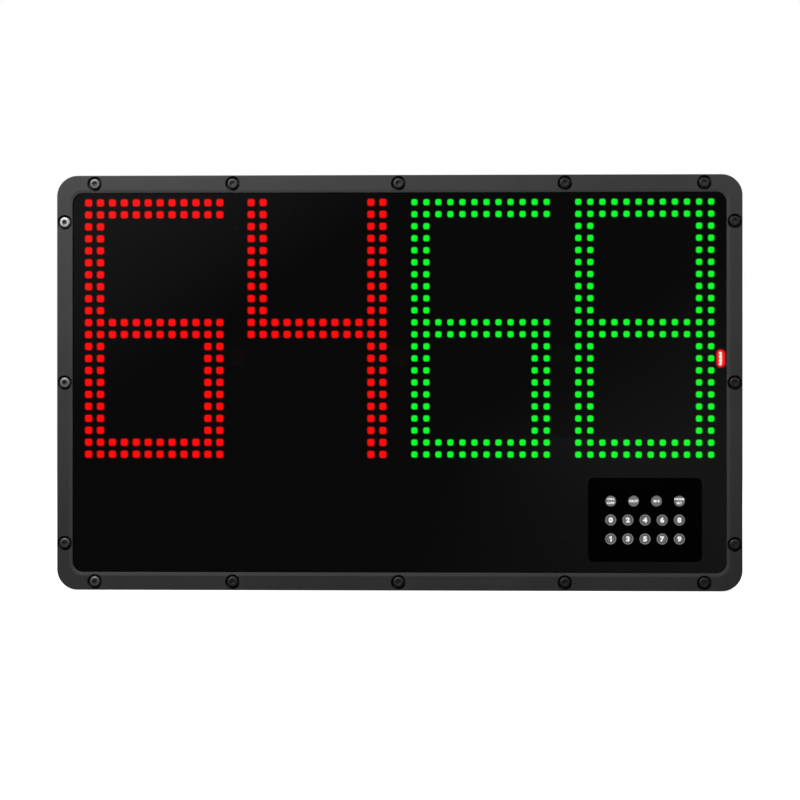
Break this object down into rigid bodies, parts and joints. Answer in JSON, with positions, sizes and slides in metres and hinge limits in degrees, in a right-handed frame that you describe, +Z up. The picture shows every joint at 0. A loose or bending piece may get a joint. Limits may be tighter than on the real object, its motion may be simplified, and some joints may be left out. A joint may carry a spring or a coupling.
{
  "type": "substitution board",
  "caption": "Battery-powered LED substitution board: bezel, smoked window, red and green dot digits, keypad in the window, carrying handles behind.",
  "frame": {"origin": "middle of the flat lower edge of the rear housing, half way through the depth of the closed case", "axes": "+X to the right as a reader sees the digits, the display faces -Y, +Z up; the board stands on its lower edge"},
  "size_m": [0.66, 0.096, 0.4],
  "materials": {
    "frame_plastic": "fine matte texture",
    "smoked_window": "polished smoked acrylic",
    "black_plastic": "smooth black",
    "key_plastic": "satin with pale figures",
    "silicone": "matte",
    "foam_rubber": "matte foam",
    "red_digit": "black solder mask with red LEDs",
    "green_digit": "black solder mask with green LEDs",
    "circuit": "black solder mask",
    "sheet_metal": "black anodised",
    "steel_screws": "plain stainless",
    "battery_sleeve": "shrunk sleeve",
    "cable_jacket": "grey vinyl",
    "handle_rubber": "matte rubber"
  },
  "bodies": {
    "case": {"battery_lead": "cable_jacket", "battery_pack": "battery_sleeve", "battery_strap": "sheet_metal", "bezel_screw_01": "steel_screws", "bezel_screw_02": "steel_screws", "bezel_screw_03": "steel_screws", "bezel_screw_04": "steel_screws", "bezel_screw_05": "steel_screws", "bezel_screw_06": "steel_screws", "bezel_screw_07": "steel_screws", "bezel_screw_08": "steel_screws", "bezel_screw_09": "steel_screws", "bezel_screw_10": "steel_screws", "bezel_screw_11": "steel_screws", "bezel_screw_12": "steel_screws", "bezel_screw_13": "steel_screws", "bezel_screw_14": "steel_screws", "bezel_screw_15": "steel_screws", "bezel_screw_16": "steel_screws", "charge_socket": "black_plastic", "control_board": "circuit", "digit_board_1": "red_digit", "digit_board_2": "red_digit", "digit_board_3": "green_digit", "digit_board_4": "green_digit", "display_ribbon": "cable_jacket", "display_window": "smoked_window", "front_bezel": "frame_plastic", "handle_left": "handle_rubber", "handle_right": "handle_rubber", "handle_screw_1": "steel_screws", "handle_screw_2": "steel_screws", "handle_screw_3": "steel_screws", "handle_screw_4": "steel_screws", "keypad_board": "circuit", "keypad_fascia": "black_plastic", "keypad_mat": "silicone", "level_board": "circuit", "mounting_plate": "sheet_metal", "plate_screw_1": "steel_screws", "plate_screw_2": "steel_screws", "plate_screw_3": "steel_screws", "plate_screw_4": "steel_screws", "rear_housing": "frame_plastic", "window_gasket": "foam_rubber"},
    "key_0": {"key_0": "key_plastic"},
    "key_1": {"key_1": "key_plastic"},
    "key_2": {"key_2": "key_plastic"},
    "key_3": {"key_3": "key_plastic"},
    "key_4": {"key_4": "key_plastic"},
    "key_5": {"key_5": "key_plastic"},
    "key_6": {"key_6": "key_plastic"},
    "key_7": {"key_7": "key_plastic"},
    "key_8": {"key_8": "key_plastic"},
    "key_9": {"key_9": "key_plastic"},
    "key_in": {"key_in": "key_plastic"},
    "key_mode": {"key_mode": "key_plastic"},
    "key_on_off": {"key_on_off": "key_plastic"},
    "key_out": {"key_out": "key_plastic"},
    "socket_flap": {"socket_flap": "handle_rubber"}
  },
  "joints": [
    {"name": "key_0_press", "type": "slide", "parent": "case", "child": "key_0", "axis": [0, 1, 0], "range_m": [0, 0.0008], "stiffness_N_per_m": 1500},
    {"name": "key_1_press", "type": "slide", "parent": "case", "child": "key_1", "axis": [0, 1, 0], "range_m": [0, 0.0008], "stiffness_N_per_m": 1500},
    {"name": "key_2_press", "type": "slide", "parent": "case", "child": "key_2", "axis": [0, 1, 0], "range_m": [0, 0.0008], "stiffness_N_per_m": 1500},
    {"name": "key_3_press", "type": "slide", "parent": "case", "child": "key_3", "axis": [0, 1, 0], "range_m": [0, 0.0008], "stiffness_N_per_m": 1500},
    {"name": "key_4_press", "type": "slide", "parent": "case", "child": "key_4", "axis": [0, 1, 0], "range_m": [0, 0.0008], "stiffness_N_per_m": 1500},
    {"name": "key_5_press", "type": "slide", "parent": "case", "child": "key_5", "axis": [0, 1, 0], "range_m": [0, 0.0008], "stiffness_N_per_m": 1500},
    {"name": "key_6_press", "type": "slide", "parent": "case", "child": "key_6", "axis": [0, 1, 0], "range_m": [0, 0.0008], "stiffness_N_per_m": 1500},
    {"name": "key_7_press", "type": "slide", "parent": "case", "child": "key_7", "axis": [0, 1, 0], "range_m": [0, 0.0008], "stiffness_N_per_m": 1500},
    {"name": "key_8_press", "type": "slide", "parent": "case", "child": "key_8", "axis": [0, 1, 0], "range_m": [0, 0.0008], "stiffness_N_per_m": 1500},
    {"name": "key_9_press", "type": "slide", "parent": "case", "child": "key_9", "axis": [0, 1, 0], "range_m": [0, 0.0008], "stiffness_N_per_m": 1500},
    {"name": "key_in_press", "type": "slide", "parent": "case", "child": "key_in", "axis": [0, 1, 0], "range_m": [0, 0.0008], "stiffness_N_per_m": 1500},
    {"name": "key_mode_press", "type": "slide", "parent": "case", "child": "key_mode", "axis": [0, 1, 0], "range_m": [0, 0.0008], "stiffness_N_per_m": 1500},
    {"name": "key_on_off_press", "type": "slide", "parent": "case", "child": "key_on_off", "axis": [0, 1, 0], "range_m": [0, 0.0008], "stiffness_N_per_m": 1500},
    {"name": "key_out_press", "type": "slide", "parent": "case", "child": "key_out", "axis": [0, 1, 0], "range_m": [0, 0.0008], "stiffness_N_per_m": 1500},
    {"name": "flap_hinge", "type": "hinge", "parent": "case", "child": "socket_flap", "pos_m": [0.27, 0.0261, 0.238], "axis": [1, 0, 0], "range_deg": [0, 120]}
  ]
}
